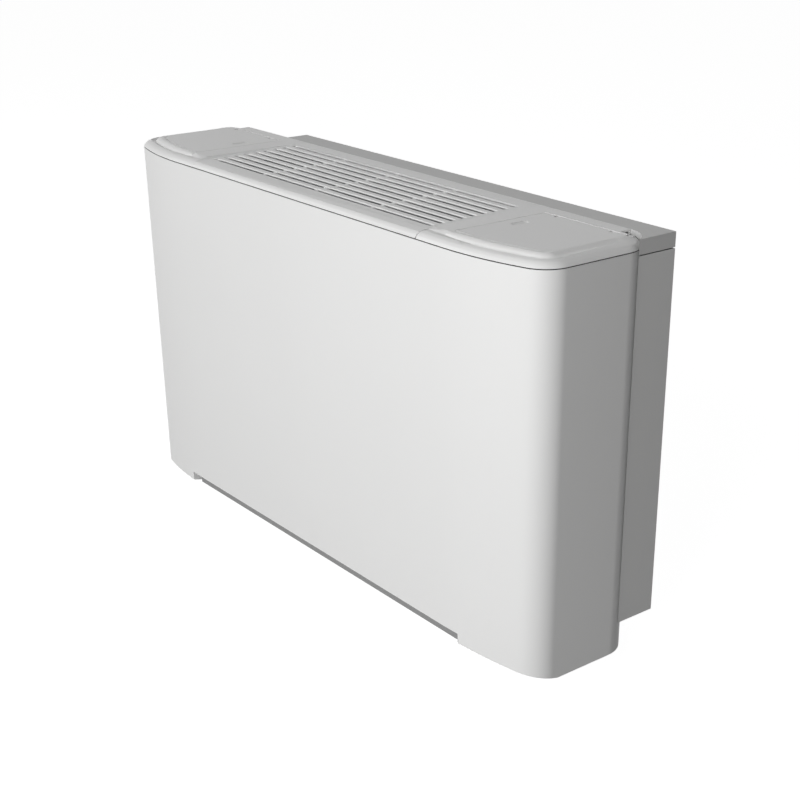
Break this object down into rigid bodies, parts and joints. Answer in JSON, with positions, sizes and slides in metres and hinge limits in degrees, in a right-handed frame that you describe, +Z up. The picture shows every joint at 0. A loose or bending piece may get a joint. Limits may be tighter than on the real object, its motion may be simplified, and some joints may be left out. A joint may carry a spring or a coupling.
{
  "type": "fan coil unit",
  "caption": "Wall-hung cabinet fan coil unit with a bowed white casing, slatted top outlet, hinged end flaps and a slide-out filter.",
  "frame": {"origin": "centre of the four wall slots, on the wall plane", "axes": "+X along the unit to its right as seen from the room, +Y into the wall, +Z up"},
  "size_m": [0.972, 0.24, 0.566],
  "materials": {
    "casing_white": "fine powder coat, satin",
    "moulded_white": "satin moulding",
    "galvanised": "galvanised sheet",
    "steel": "ground",
    "impeller_plastic": "moulded",
    "motor_paint": "satin black",
    "rubber": "matt",
    "fin_aluminium": "rolled foil",
    "copper": "drawn copper tube",
    "brass": "machined",
    "grey_plastic": "moulded",
    "filter_grey": "moulded",
    "mesh_black": "woven mesh",
    "black_plastic": "moulded"
  },
  "bodies": {
    "cabinet": {"front_casing": "casing_white", "rear_cover": "casing_white", "top_grille": "moulded_white", "left_end_cover": "moulded_white", "right_end_cover": "moulded_white", "rear_cap": "moulded_white", "back_plate": "galvanised", "left_side_plate": "galvanised", "right_side_plate": "galvanised", "casing_brackets": "galvanised", "fan_deck": "galvanised", "left_scroll": "galvanised", "right_scroll": "galvanised", "inlet_rings": "galvanised", "motor_bracket": "galvanised", "tube_sheets": "galvanised", "filter_guides": "galvanised", "left_hinge_pin": "steel", "right_hinge_pin": "steel", "motor": "motor_paint", "motor_cushions": "rubber", "coil_fins": "fin_aluminium", "coil_tubes": "copper", "water_headers": "copper", "water_unions": "brass", "air_vent": "brass", "drain_pan": "grey_plastic", "drain_nipple": "grey_plastic", "terminal_box": "grey_plastic", "terminal_lid": "grey_plastic", "control_panel": "grey_plastic", "cable_gland": "black_plastic"},
    "left_lid": {"left_flap": "moulded_white"},
    "right_lid": {"right_flap": "moulded_white"},
    "rotor": {"fan_shaft": "steel", "left_impeller": "impeller_plastic", "right_impeller": "impeller_plastic"},
    "filter": {"filter_frame": "filter_grey", "filter_mesh": "mesh_black"},
    "speed_dial": {"speed_knob": "black_plastic"},
    "thermostat_dial": {"thermostat_knob": "black_plastic"}
  },
  "joints": [
    {"name": "left_flap_hinge", "type": "hinge", "parent": "cabinet", "child": "left_lid", "pos_m": [-0.385, -0.062, 0.2524], "axis": [-1, 0, 0], "range_deg": [0, 95]},
    {"name": "right_flap_hinge", "type": "hinge", "parent": "cabinet", "child": "right_lid", "pos_m": [0.385, -0.062, 0.2524], "axis": [-1, 0, 0], "range_deg": [0, 95]},
    {"name": "fan_spin", "type": "hinge", "parent": "cabinet", "child": "rotor", "pos_m": [0, -0.128, -0.192], "axis": [1, 0, 0], "continuous": true},
    {"name": "filter_slide", "type": "slide", "parent": "cabinet", "child": "filter", "axis": [0, -1, 0], "range_m": [0, 0.16]},
    {"name": "speed_turn", "type": "hinge", "parent": "cabinet", "child": "speed_dial", "pos_m": [0.352, -0.128, 0.236], "axis": [0, 0, 1], "range_deg": [-135, 0]},
    {"name": "thermostat_turn", "type": "hinge", "parent": "cabinet", "child": "thermostat_dial", "pos_m": [0.414, -0.122, 0.236], "axis": [0, 0, 1], "range_deg": [-135, 135]}
  ]
}
